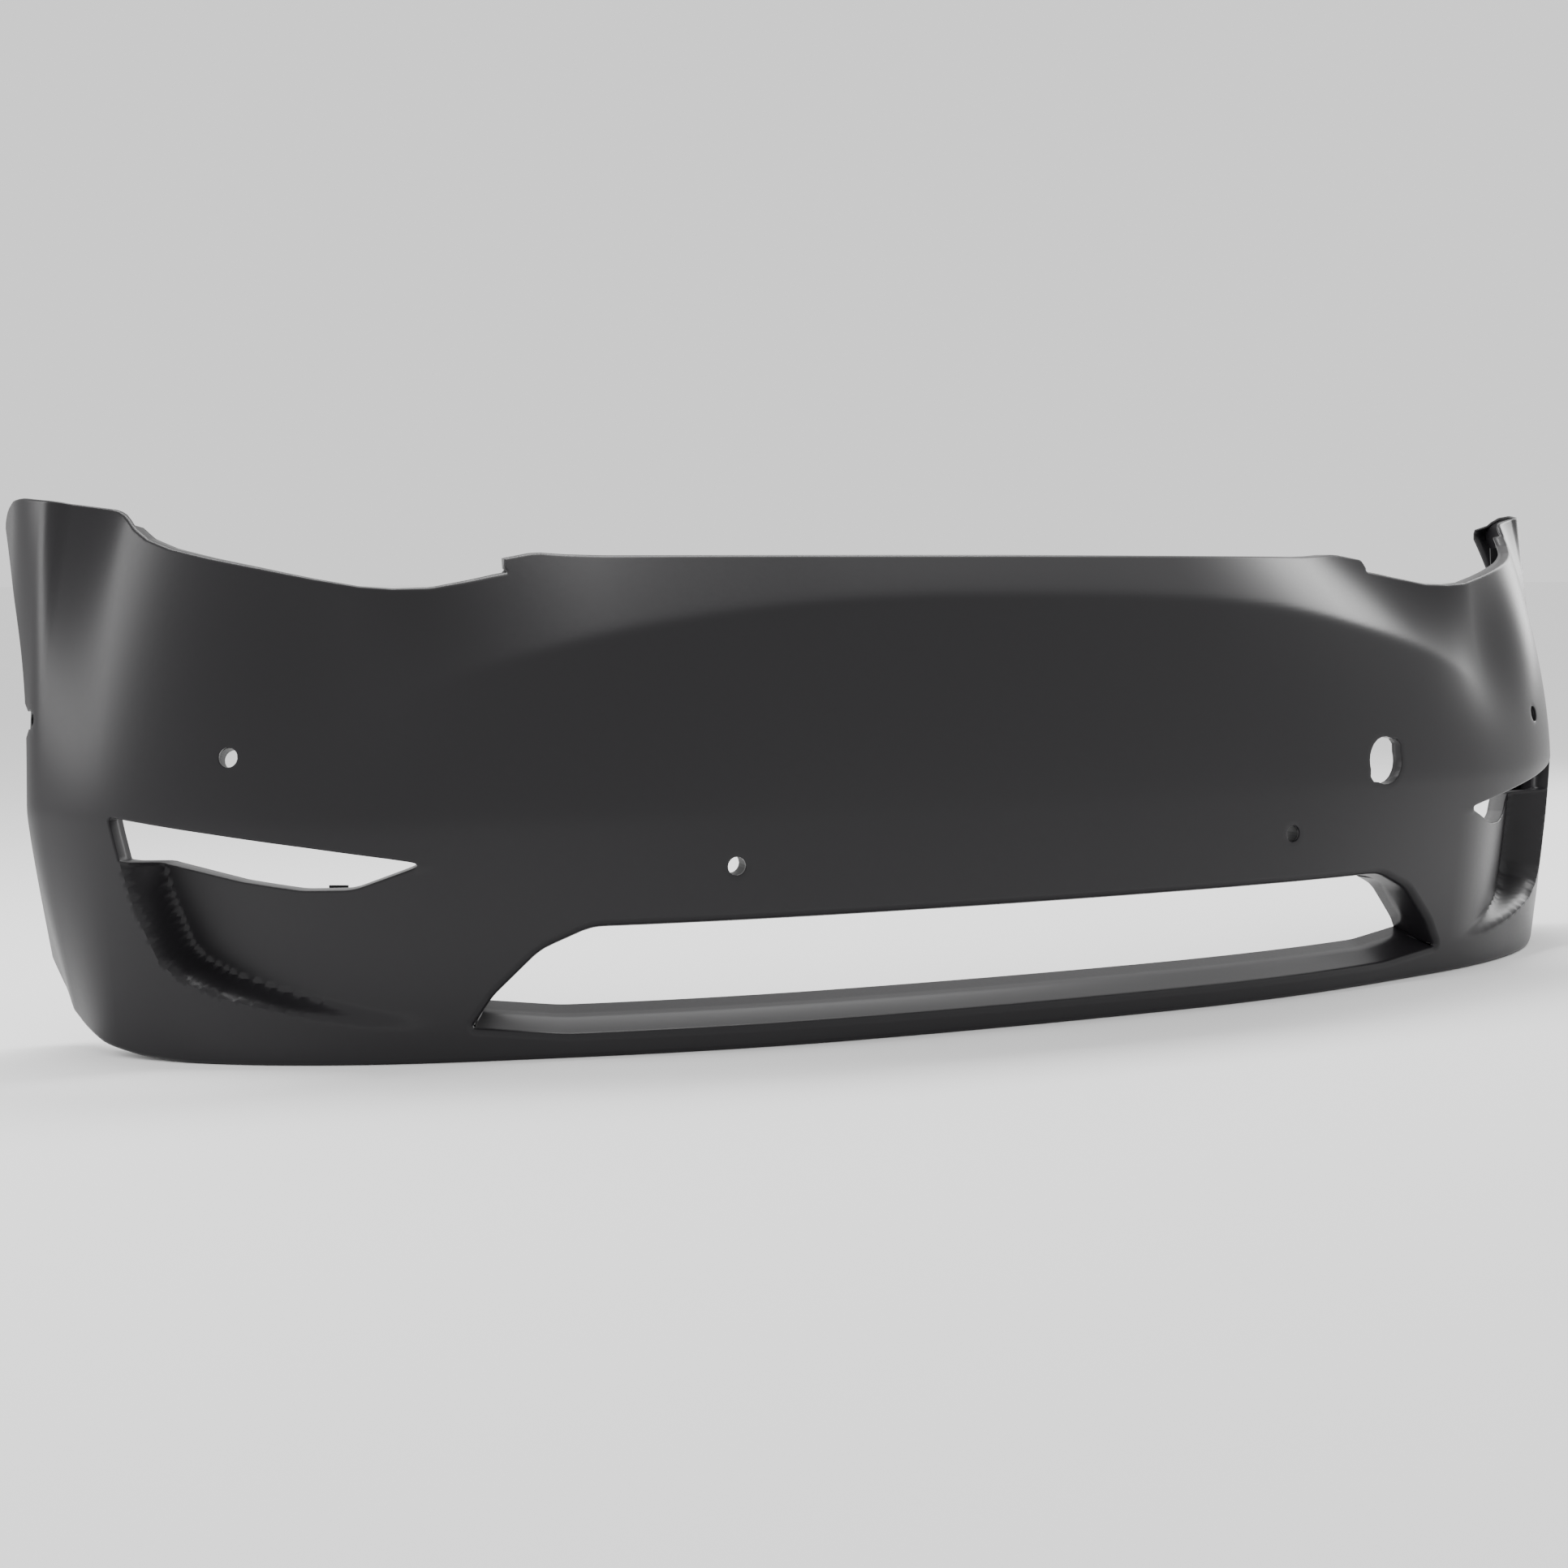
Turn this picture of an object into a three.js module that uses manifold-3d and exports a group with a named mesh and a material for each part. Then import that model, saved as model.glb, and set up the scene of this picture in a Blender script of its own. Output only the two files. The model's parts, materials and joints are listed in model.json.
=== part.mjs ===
// Front bumper cover of a compact crossover: one moulded skin with its turned edges, and the
// brackets, holders, ducts, screws and spring nuts that are fitted behind it.
//
// Every place on the skin is given by a station and a height. The station u is the distance
// along the plan curve from the centre line, positive to +X. The height z is above the lower
// edge. Depth is measured from the outer face towards the inside, level, square to the plan
// curve. Millimetres, +Z up, the front faces -Y.
import * as THREE from "three";
import { mergeVertices } from "three/addons/utils/BufferGeometryUtils.js";
import Module from "manifold-3d";

const wasm = await Module();
wasm.setup();

// ---------------------------------------------------------------- driving sizes
const WALL = 3;
const GAP = 0.3;
const FLATNESS = 0.06;               // slivers flatter than this are merged in the cover
const SKIN_LENGTH = 1185;            // station of the rear end of each side
const HOOD_EDGE = 470;               // height of the edge that meets the hood
const HOOD_HALF = 541;               // station where the hood edge steps down to the lamp cut
const WING_TOP = 525;                // height of the top of each side
const GRILLE_HALF = 577;
const GRILLE_LOW = 28;
const GRILLE_HIGH = 122;
const GRILLE_DEPTH = 52;
const SLIT_FROM = 620;               // lamp slit, inner and outer station
const SLIT_TO = 919;
const SLIT_RISE = 45;                // clear height of the lamp slit's outer half
const SCOOP_DEPTH = 46;
const SCOOP_WALL = 16;               // breadth of the scoop's sloping side walls
const ARCH_RADIUS = 450;
const ARCH_FRONT = 318;              // foremost reach of the wheel opening, along Y
const ARCH_CENTRE = 230;             // height of the centre of the wheel opening
const ARCH_FLANGE = 20;
const HOOD_FLANGE = 24;
const LAMP_FLANGE = 14;
const FLOOR_FLANGE = 38;
const FLOOR_FLANGE_RISE = 4;
const SENSOR_BORE = 18;
const SENSORS = { centre: [325, 177], outer: [800, 286], side: [1034, 315] };
const HOLDER_HALF = [11.5, 21];      // half width and half height of a sensor holder's seat
const FACET = 1.0;                   // room for the facets of the curved skin
const TOW_BORE = 54;
const TOW_PLACE = [464, 249];
const DUCT_LOW = 112;
const DUCT_HIGH = 172;
const DUCT_NEAR = 14;
const DUCT_FAR = 40;
const DUCT_WALL = 2;
const DUCT_FROM = 932;
const DUCT_TO = 1004;
const SCREW_SHANK = 4;
const SCREW_HEAD = 9;
const SCREW_LENGTH = 12;

// How far the plan curve has turned, in degrees, at each station.
const PLAN_TURN = [[0, 0], [325, 4.6], [620, 16], [760, 27.7], [860, 40.6], [950, 54],
  [1010, 62], [1036, 84], [1100, 86.5], [1300, 89]];

// Height of the upper edge of the skin at each station.
const UPPER_EDGE = [[0, HOOD_EDGE], [HOOD_HALF, HOOD_EDGE], [HOOD_HALF + 4, HOOD_EDGE - 17],
  [590, HOOD_EDGE - 26], [650, HOOD_EDGE - 31], [705, HOOD_EDGE - 25], [780, HOOD_EDGE - 12],
  [890, HOOD_EDGE + 9], [925, WING_TOP - 34], [955, WING_TOP - 14], [1024, WING_TOP - 5],
  [1070, WING_TOP], [1093, WING_TOP - 2], [1116, WING_TOP - 12], [SKIN_LENGTH, WING_TOP - 60]];

// Height of the lower edge, which lifts towards the wheel opening.
const LOWER_EDGE = [[0, 0], [850, 0], [940, 9], [1000, 26], [1040, 52], [SKIN_LENGTH, 78]];

// Upper and lower outlines of the grille mouth and of the lamp slit.
const GRILLE_TOP = [[0, GRILLE_HIGH], [410, GRILLE_HIGH], [460, GRILLE_HIGH - 1],
  [495, GRILLE_HIGH - 8], [531, GRILLE_HIGH - 32], [GRILLE_HALF, GRILLE_LOW + 6]];
const SLIT_TOP = [[SLIT_FROM, 189], [640, 193], [726, 203], [815, 215], [SLIT_TO, 226]];
const SLIT_BOTTOM = [[SLIT_FROM, 186], [640, 176], [690, 164], [735, 163], [785, 211 - SLIT_RISE],
  [835, 217 - SLIT_RISE], [895, 224 - SLIT_RISE], [SLIT_TO, 226 - SLIT_RISE]];

// Lower rim of the scoop under the lamp slit.
const SCOOP_RIM = [[584, 26], [681, 37], [747, 49], [815, 64], [853, 79], [874, 95],
  [883, 113], [898, 146], [911, 189], [925, 240]];
const SCOOP_RIM_TURNED = SCOOP_RIM.map(([u, z]) => [z, u]);

// ---------------------------------------------------------------- curves of the skin
/** Straight-line reading of a list of [place, value] pairs. */
function along(points, place) {
  const last = points.length - 1;
  const next = Math.min(Math.max(points.findIndex((point) => point[0] > place), 1), last);
  const end = place >= points[last][0] ? last : next;
  const [from, low] = points[end - 1];
  const [to, high] = points[end];
  const share = Math.min(Math.max((place - from) / (to - from), 0), 1);
  return low + (high - low) * share;
}

/** Smooth step from 0 at `from` to 1 at `to`. */
function ease(from, to, place) {
  const share = Math.min(Math.max((place - from) / (to - from), 0), 1);
  return share * share * (3 - 2 * share);
}

/** Plan curve, walked in short steps: place and turn at whole millimetres of station. */
function walkPlan() {
  const steps = [{ x: 0, y: -10, turn: 0 }];
  for (let u = 1; u <= SKIN_LENGTH + 40; u += 1) {
    const last = steps[u - 1];
    const turn = THREE.MathUtils.degToRad(along(PLAN_TURN, u));
    steps.push({ x: last.x + Math.cos(turn), y: last.y + Math.sin(turn), turn });
  }
  return steps;
}

const PLAN = walkPlan();

/** Place and turn of the plan curve at a station on either side. */
function plan(u) {
  const size = Math.min(Math.abs(u), PLAN.length - 2);
  const whole = Math.floor(size);
  const share = size - whole;
  const from = PLAN[whole];
  const to = PLAN[whole + 1];
  const side = Math.sign(u) || 1;
  return {
    x: side * (from.x + (to.x - from.x) * share),
    y: from.y + (to.y - from.y) * share,
    turn: side * (from.turn + (to.turn - from.turn) * share),
  };
}

/** Height of the crease under the nose band. */
function creaseHeight(u) {
  return HOOD_EDGE - 40 - 59 * Math.min(Math.abs(u) / 540, 1.3) ** 2.6;
}

/** Depth of the scoop under the lamp slit; `grow` moves its walls outwards. */
function scoop(u, z, grow = 0) {
  const size = Math.abs(u);
  const rise = z - along(SCOOP_RIM, size);
  const reach = along(SCOOP_RIM_TURNED, z) - size;
  const inside = rise > 0 && reach > 0 ? (rise * reach) / Math.hypot(rise, reach) : Math.min(rise, reach);
  const below = 1 - ease(0, 2, z - along(SLIT_TOP, size));
  return SCOOP_DEPTH * ease(0, SCOOP_WALL, inside + grow) * below * ease(600, 880, size);
}

/** How far the outer face stands outside the plan curve, before the scoop: the sides lean least. */
function swell(u, z) {
  const size = Math.abs(u);
  const corner = ease(200, 560, size);
  const tuck = (4 + 14 * corner + 30 * ease(930, 1040, size)) * Math.max(0, (230 - z) / 230) ** 1.3;
  const upright = ease(940, 1090, size);
  const lean = (25 + 43 * corner - 60 * upright) * Math.max(0, (z - 220) / 300) ** 1.6;
  const valley = 18 * Math.exp(-(((size - 700) / 85) ** 2) - ((z - 365) / 85) ** 2);
  const above = z - creaseHeight(u);
  const nose = 0.4 * (1 - ease(430, 690, size)) * (above + Math.hypot(above, 10));
  return -tuck - lean - valley - nose;
}

/** Point at a station, height and depth below the outer face, without the scoop. */
function skin(u, z, depth = 0) {
  const { x, y, turn } = plan(u);
  const out = swell(u, z) - depth;
  return new THREE.Vector3(x + Math.sin(turn) * out, y - Math.cos(turn) * out, z);
}

/** Station on the +X side where the plan curve reaches a given Y. */
function stationAt(y) {
  return PLAN.findIndex((step) => step.y >= y);
}

// ---------------------------------------------------------------- solids
/** Welds a closed geometry and hands it to the solid modeller. */
function toSolid(geometry) {
  const bare = geometry.clone();
  bare.deleteAttribute("normal");
  bare.deleteAttribute("uv");
  const welded = mergeVertices(bare, 1e-4);
  const index = welded.index.array;
  const kept = [];
  for (let i = 0; i < index.length; i += 3) {
    const [a, b, c] = [index[i], index[i + 1], index[i + 2]];
    if (a !== b && b !== c && c !== a) kept.push(a, b, c);
  }
  return new wasm.Manifold(new wasm.Mesh({
    numProp: 3,
    vertProperties: new Float32Array(welded.attributes.position.array),
    triVerts: new Uint32Array(kept),
  }));
}

/** Turns a finished solid back into a geometry. */
function toGeometry(solid) {
  const mesh = solid.getMesh();
  const geometry = new THREE.BufferGeometry();
  geometry.setAttribute("position", new THREE.BufferAttribute(mesh.vertProperties, 3));
  geometry.setIndex(new THREE.BufferAttribute(mesh.triVerts, 1));
  geometry.computeVertexNormals();
  return geometry;
}

const join = (solids) => solids.reduce((whole, next) => whole.add(next));
const cut = (solid, tools) => tools.reduce((whole, next) => whole.subtract(next), solid);

/** Leaves out shavings of less than a cubic millimetre that a cut left along an edge. */
function withoutCrumbs(solid) {
  return join(solid.decompose().filter((body) => Math.abs(body.volume()) > 1));
}

/** Closed slab between an outer and an inner sheet of points, both read on the same grid. */
function slab(columns, rows, outer, inner) {
  const positions = [];
  const index = [];
  const layer = (columns + 1) * (rows + 1);
  for (const sheet of [outer, inner]) {
    for (let i = 0; i <= columns; i += 1) {
      for (let j = 0; j <= rows; j += 1) positions.push(...sheet(i, j).toArray());
    }
  }
  const at = (i, j, side) => side * layer + i * (rows + 1) + j;
  const quad = (a, b, c, d) => index.push(a, b, c, a, c, d);
  for (let i = 0; i < columns; i += 1) {
    for (let j = 0; j < rows; j += 1) {
      quad(at(i, j, 0), at(i + 1, j, 0), at(i + 1, j + 1, 0), at(i, j + 1, 0));
      quad(at(i, j, 1), at(i, j + 1, 1), at(i + 1, j + 1, 1), at(i + 1, j, 1));
    }
    quad(at(i, 0, 0), at(i, 0, 1), at(i + 1, 0, 1), at(i + 1, 0, 0));
    quad(at(i, rows, 0), at(i + 1, rows, 0), at(i + 1, rows, 1), at(i, rows, 1));
  }
  for (let j = 0; j < rows; j += 1) {
    quad(at(0, j, 0), at(0, j + 1, 0), at(0, j + 1, 1), at(0, j, 1));
    quad(at(columns, j, 0), at(columns, j, 1), at(columns, j + 1, 1), at(columns, j + 1, 0));
  }
  const geometry = new THREE.BufferGeometry();
  geometry.setAttribute("position", new THREE.Float32BufferAttribute(positions, 3));
  geometry.setIndex(index);
  return toSolid(geometry);
}

/** Evenly spaced stations from one to another, no further apart than `pitch`. */
function stations(from, to, pitch) {
  const count = Math.max(1, Math.ceil(Math.abs(to - from) / pitch));
  return Array.from({ length: count + 1 }, (_, i) => from + ((to - from) * i) / count);
}

/** Slab that follows the skin: heights from low(u) to high(u), depths from near to far. */
function skinSlab(places, rows, low, high, near, far) {
  const sheet = (depth) => (i, j) => {
    const u = places[i];
    const z = low(u) + ((high(u) - low(u)) * j) / rows;
    return skin(u, z, depth(u, z));
  };
  return slab(places.length - 1, rows, sheet(near), sheet(far));
}

/** Frame that stands on the skin: local X along it, local Y inwards, local Z up it. */
function frameOn(u, z, depth = 0) {
  const across = skin(u + 1, z).sub(skin(u - 1, z)).normalize();
  const up = skin(u, z + 1).sub(skin(u, z - 1)).normalize();
  const inwards = new THREE.Vector3().crossVectors(up, across).normalize();
  const upright = new THREE.Vector3().crossVectors(across, inwards);
  const place = skin(u, z).addScaledVector(inwards, depth);
  return new THREE.Matrix4().makeBasis(across, inwards, upright).setPosition(place);
}

/** Round rod along local Y from one depth to another. */
function rod(radius, from, to, sides = 24) {
  const geometry = new THREE.CylinderGeometry(radius, radius, to - from, sides);
  return geometry.translate(0, (from + to) / 2, 0);
}

/** Box given by its size and the middle of it. */
function block(size, middle) {
  return new THREE.BoxGeometry(...size).translate(...middle);
}

/** Solid of a geometry, set in a frame on the skin. */
function placed(geometry, frame) {
  return toSolid(geometry.clone().applyMatrix4(frame));
}

// ---------------------------------------------------------------- the cover
const flat = (value) => () => value;
const upperEdge = (u) => along(UPPER_EDGE, Math.abs(u));
const lowerEdge = (u) => along(LOWER_EDGE, Math.abs(u));
const grilleTop = (u) => along(GRILLE_TOP, Math.abs(u));
const slitTop = (u) => along(SLIT_TOP, Math.abs(u));
const slitBottom = (u) => along(SLIT_BOTTOM, Math.abs(u));
const bothSides = (list) => [...list.map((u) => -u).reverse(), ...list].filter(
  (u, i, all) => i === 0 || u > all[i - 1],
);

/** The bare moulded wall, with the scoops pressed into it. */
function shell() {
  const half = [...stations(0, HOOD_HALF, 78), ...stations(HOOD_HALF + 4, 620, 25),
    ...stations(652, 844, 32), ...stations(852, 932, 9), ...stations(955, SKIN_LENGTH, 23)];
  const inner = (u, z) => WALL + scoop(u, z, WALL);
  return skinSlab(bothSides(half), 11, lowerEdge, upperEdge, scoop, inner);
}

/** Turned edge: a strip of wall thickness that runs inwards from the skin. */
function flange(from, to, low, depth, start = flat(WALL / 2)) {
  const high = (u) => low(u) + WALL;
  return skinSlab(stations(from, to, 44), 1, low, high, start, (u) => start(u) + depth);
}

/** Grille mouth as a plug, grown by a margin all round. */
function grillePlug(grow, near, far) {
  const reach = GRILLE_HALF + grow;
  const bend = (u) => Math.sign(u) * Math.min(Math.abs(u), GRILLE_HALF);
  const high = (u) => Math.max(grilleTop(bend(u)) + grow, GRILLE_LOW + 1);
  const places = bothSides([...stations(0, 440, 44), 470, 495, 513, 531, 554, reach]);
  return skinSlab(places, 2, flat(GRILLE_LOW - grow), high, flat(near), flat(far));
}

/** Lamp slit on one side as a plug. */
function slitPlug(side) {
  const places = stations(side * SLIT_FROM, side * SLIT_TO, 24);
  if (side < 0) places.reverse();
  return skinSlab(places, 1, slitBottom, slitTop, flat(-20), flat(SCOOP_DEPTH + 20));
}

/** Turned edges round one lamp slit: above it, below it and at its outer end. */
function slitEdges(side) {
  const [from, to] = side > 0 ? [SLIT_FROM + 20, SLIT_TO] : [-SLIT_TO, -SLIT_FROM - 20];
  const floor = (u) => WALL / 2 + scoop(u, slitBottom(u) - WALL);
  const above = flange(from, to, slitTop, 22);
  const below = flange(from, to, (u) => slitBottom(u) - WALL, 14, floor);
  const ends = side > 0 ? [SLIT_TO, SLIT_TO + WALL] : [-SLIT_TO - WALL, -SLIT_TO];
  const end = skinSlab(ends, 1, flat(slitBottom(SLIT_TO) - 6), flat(slitTop(SLIT_TO) + WALL / 2),
    flat(WALL / 2), flat(SCOOP_DEPTH + 8));
  return [above, below, end];
}

/** Point on the edge of the wheel opening, at an angle above level, set out and set in. */
function archPoint(side, angle, out, inwards) {
  const y = ARCH_FRONT + ARCH_RADIUS - (ARCH_RADIUS + out) * Math.cos(angle);
  const z = ARCH_CENTRE + (ARCH_RADIUS + out) * Math.sin(angle);
  const u = stationAt(y);
  const x = plan(u).x + Math.sin(plan(u).turn) * swell(u, z);
  return new THREE.Vector3(side * (x - inwards), y, z);
}

const ARCH_FROM = Math.asin((84 - ARCH_CENTRE) / ARCH_RADIUS);
const ARCH_TO = Math.asin((WING_TOP - 28 - ARCH_CENTRE) / ARCH_RADIUS);

/** Turned edge round one wheel opening. */
function archFlange(side) {
  const columns = 14;
  const angle = (i) => ARCH_FROM + ((ARCH_TO - ARCH_FROM) * i) / columns;
  const outer = (i, j) => archPoint(side, angle(i), j * WALL, WALL / 2);
  const inner = (i, j) => archPoint(side, angle(i), j * WALL, ARCH_FLANGE);
  return side > 0 ? slab(columns, 1, outer, inner) : slab(columns, 1, inner, outer);
}

/** Cuts the two wheel openings with one long drum. */
function archDrum() {
  const drum = new THREE.CylinderGeometry(ARCH_RADIUS, ARCH_RADIUS, 2600, 128);
  drum.rotateZ(Math.PI / 2);
  drum.rotateX(Math.PI / 128);
  return toSolid(drum.translate(0, ARCH_FRONT + ARCH_RADIUS, ARCH_CENTRE));
}

/** Depth of the skin under a tangent frame, at a local offset from its origin. */
function sag(site, across, up) {
  const { u, z, frame } = site;
  const tilt = new THREE.Vector3().setFromMatrixColumn(frame, 2).z;
  const point = skin(u + across, z + up * tilt, site.floor ? scoop(u + across, z + up * tilt) : 0);
  return point.applyMatrix4(frame.clone().invert()).y;
}

/** Screw bosses for a fitted piece: posts up to its seat, and the pilot bores in them. */
function bosses(site) {
  const post = ([across, up]) => {
    const low = sag(site, across, up) + WALL / 2;
    return placed(rod(SCREW_HEAD / 2 + 1, low, site.seat, 12).translate(across, 0, up), site.frame);
  };
  const pilot = ([across, up]) => {
    const low = Math.max(sag(site, across, up) + WALL + 1, site.seat - SCREW_LENGTH - 1);
    const bore = rod(SCREW_SHANK / 2 + GAP / 2, low, site.seat + 4, 10);
    return placed(bore.translate(across, 0, up), site.frame);
  };
  return { posts: site.holes.map(post), pilots: site.holes.map(pilot) };
}

// ---------------------------------------------------------------- where pieces are fitted
const SIDES = { left: -1, right: 1 };

/** Place of a screwed piece: its frame, the depth of its seat and its screw holes. */
function site(side, u, z, seat, holes, floor = false) {
  const frame = frameOn(side * u, z);
  return { side, u: side * u, z, frame, seat, floor, holes: holes.map(([a, b]) => [side * a, b]) };
}

const WING_SITE = (side) => site(side, 1058, 464, 18, [[-26, -24], [-24, 26], [20, 8]]);
const WING_PAD = 6;                  // height of the raised seat for the front wing
const LAMP_SITE = (side) => site(side, 742, 118, 56, [[-42, -24], [44, -22], [2, 22]], true);
const NUT_ANGLES = [-0.1, 0.28, 0.47];
const NUT_STATIONS = [210, 480, 740];
const NUT_WIDTH = 14;
const NUT_REACH = 13;
const NUT_SHEET = 1;
const NUT_CLEAR = GAP + FACET;       // room between a nut's bend and the flange edge

/** Frame on the free edge of the floor flange. */
function floorNutFrame(u) {
  const { turn } = plan(u);
  const height = FLOOR_FLANGE_RISE + WALL / 2;
  const edge = skin(u, height, WALL / 2 + FLOOR_FLANGE);
  return new THREE.Matrix4().makeRotationZ(turn).setPosition(edge);
}

/** Frame on the free edge of a wheel opening's flange. */
function archNutFrame(side, angle) {
  const thick = new THREE.Vector3(0, -Math.cos(angle), Math.sin(angle));
  const edgeAt = (turn) => archPoint(side, turn, WALL / 2, ARCH_FLANGE);
  const across = edgeAt(angle + side * 0.015).sub(edgeAt(angle - side * 0.015)).normalize();
  const inwards = new THREE.Vector3().crossVectors(thick, across);
  const edge = edgeAt(angle);
  return new THREE.Matrix4().makeBasis(across, inwards, thick).setPosition(edge);
}

/** Screw hole through a flange, under its spring nut. */
function nutHole(frame) {
  const hole = new THREE.CylinderGeometry(3.5, 3.5, 12, 10).rotateX(Math.PI / 2);
  return placed(hole.translate(0, -NUT_REACH * 0.55, 0), frame);
}

/** Places of all spring nuts, by node name. */
function nutFrames() {
  const frames = {};
  for (const [name, side] of Object.entries(SIDES)) {
    NUT_ANGLES.forEach((angle, i) => { frames[`arch_nut_${name}_${i + 1}`] = archNutFrame(side, angle); });
    NUT_STATIONS.forEach((u, i) => { frames[`tray_nut_${name}_${i + 1}`] = floorNutFrame(side * u); });
  }
  return frames;
}

/** Bores of the six parking sensors. */
function sensorBores() {
  const bore = (u, z) => placed(rod(SENSOR_BORE / 2, -12, 14, 16), frameOn(u, z));
  return Object.values(SENSORS).flatMap(([u, z]) => [bore(u, z), bore(-u, z)]);
}

/** Collar of the towing-eye opening, and the opening with its two finger notches. */
function towEye() {
  const frame = frameOn(...TOW_PLACE);
  const radius = TOW_BORE / 2;
  const collar = placed(rod(radius + WALL, WALL / 2, 14, 24), frame);
  const notch = (angle) => block([9, 40, 6], [radius, 0, 0]).rotateY(angle);
  const tools = [rod(radius, -12, 30, 24), notch(-0.9), notch(2.3)];
  return { collar, openings: tools.map((tool) => placed(tool, frame)) };
}

/** Push-pin holes along the hood edge. */
function hoodHoles() {
  const pin = (u) => {
    const hole = new THREE.CylinderGeometry(3.5, 3.5, 16, 10).rotateX(Math.PI / 2);
    return toSolid(hole.translate(...skin(u, HOOD_EDGE - WALL / 2, WALL + HOOD_FLANGE / 2).toArray()));
  };
  return bothSides([0, 160, 320, 470]).map(pin);
}

/** Air duct on one side: a square tube that starts behind the scoop's outer wall. */
function ductTube(side, grow, from, to) {
  const ends = side > 0 ? [from, to] : [-to, -from];
  return skinSlab(stations(...ends, 24), 1, flat(DUCT_LOW - grow), flat(DUCT_HIGH + grow),
    flat(DUCT_NEAR - grow), flat(DUCT_FAR + grow));
}

/** The whole cover as one solid. */
function coverSolid() {
  const tow = towEye();
  const sides = Object.values(SIDES);
  const sites = sides.flatMap((side) => [WING_SITE(side), LAMP_SITE(side)]).map(bosses);
  const hood = flange(-HOOD_HALF, HOOD_HALF, (u) => upperEdge(u) - WALL, HOOD_FLANGE);
  const floor = flange(-850, 850, flat(FLOOR_FLANGE_RISE), FLOOR_FLANGE);
  const lamp = (side) => flange(...(side > 0 ? [560, 948] : [-948, -560]), (u) => upperEdge(u) - WALL,
    LAMP_FLANGE);
  const walls = join([cut(shell(), [archDrum()]), hood, floor, ...sides.map(lamp), ...sides.map(archFlange),
    grillePlug(WALL, WALL / 2, GRILLE_DEPTH), tow.collar, ...sites.flatMap((item) => item.posts)]);
  const mouths = cut(walls, [grillePlug(0, -30, GRILLE_DEPTH + 20), ...sides.map(slitPlug)]);
  const edged = join([mouths, ...sides.flatMap(slitEdges)]);
  const bored = cut(edged, [...tow.openings, ...sensorBores(), ...hoodHoles(),
    ...sides.map((side) => ductTube(side, 0, 862, DUCT_FROM - 2)),
    ...Object.values(nutFrames()).map(nutHole), ...sites.flatMap((item) => item.pilots)]);
  return withoutCrumbs(bored.simplify(FLATNESS));
}

// ---------------------------------------------------------------- fitted pieces
/** Flat plate in local X and Z, from depth 0 to its thickness, with round holes. */
function plate(points, thickness, holes = []) {
  const shape = new THREE.Shape(points.map(([x, z]) => new THREE.Vector2(x, z)));
  for (const [x, z, radius] of holes) {
    shape.holes.push(new THREE.Path().absarc(x, z, radius, 0, Math.PI * 2, true));
  }
  const options = { depth: thickness, bevelEnabled: false, curveSegments: 6 };
  return new THREE.ExtrudeGeometry(shape, options).rotateX(Math.PI / 2).translate(0, thickness, 0);
}

/** Depth at which a flat sensor holder clears the curved inner face of the skin. */
function holderDepth(u, z) {
  const place = { u, z, frame: frameOn(u, z) };
  const ends = [-1, 1].flatMap((i) => [-1, 1].map((j) => sag(place, i * HOLDER_HALF[0], j * HOLDER_HALF[1])));
  return WALL + FACET + GAP + Math.max(0, ...ends);
}

/** Holder of one parking sensor: seat plate, barrel and two spring latches. */
function sensorHolder() {
  const [width, height] = HOLDER_HALF;
  const seat = plate([[-width, -height], [width, -height], [width, height], [-width, height]], 2);
  const barrel = rod(SENSOR_BORE / 2 + 2.5, 1, 18, 20);
  const latches = [-1, 1].flatMap((end) => [
    block([8, 20, 2], [0, 11, end * (height - 5)]),
    block([8, 3, 4], [0, 19.5, end * (height - 6)]),
  ]);
  const body = join([seat, barrel, ...latches].map(toSolid));
  return cut(body, [toSolid(rod(SENSOR_BORE / 2 + 0.4, -1, 20, 20))]);
}

/** Bracket behind the top of a side, with its stepped upper edge, guide rib and wing seat. */
function wingBracket(side, holes) {
  const mirrored = (points) => (side > 0 ? points : points.map(([x, z]) => [-x, z]).reverse());
  const outline = mirrored([[-34, -32], [22, -28], [27, 18], [14, 18], [14, 28], [0, 28], [0, 36], [-28, 36],
    [-28, 30], [-34, 30]]);
  const bores = holes.map(([x, z]) => [x, z, SCREW_SHANK / 2 + GAP]);
  const web = toSolid(plate(outline, 2.5, bores));
  const rib = toSolid(block([52, 12, 2.5], [-side * 5, 8, -4]));
  const stub = toSolid(block([2.5, 10, 34], [side * 8, 7, 4]));
  const pad = toSolid(block([16, 4, 13], [-side * 9, WING_PAD - 2, 27.5]));
  return join([web, rib, stub, pad]);
}

/** Carrier behind the scoop floor: a plate with a lamp eyelet and a half-round cradle. */
function lampCarrier(side, holes) {
  const bores = holes.map(([x, z]) => [x, z, SCREW_SHANK / 2 + GAP]);
  const web = toSolid(plate([[-58, -34], [58, -34], [58, 6], [22, 32], [-22, 32], [-58, 6]], 3, bores));
  const ear = toSolid(plate([[-9, 14], [9, 14], [9, 37], [-9, 37]], 3, [[0, 30, 3.5]])
    .translate(-side * 30, 14, 0));
  const arm = toSolid(block([18, 14.5, 4], [-side * 30, 8.7, 16]));
  const cradle = new THREE.CylinderGeometry(17, 17, 34, 20).rotateX(Math.PI / 2);
  const hollow = new THREE.CylinderGeometry(14, 14, 40, 20).rotateX(Math.PI / 2);
  const cup = cut(toSolid(cradle), [toSolid(hollow)]).translate([side * 8, 18.5, -12]);
  return join([web, ear, arm, cup]);
}

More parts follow.
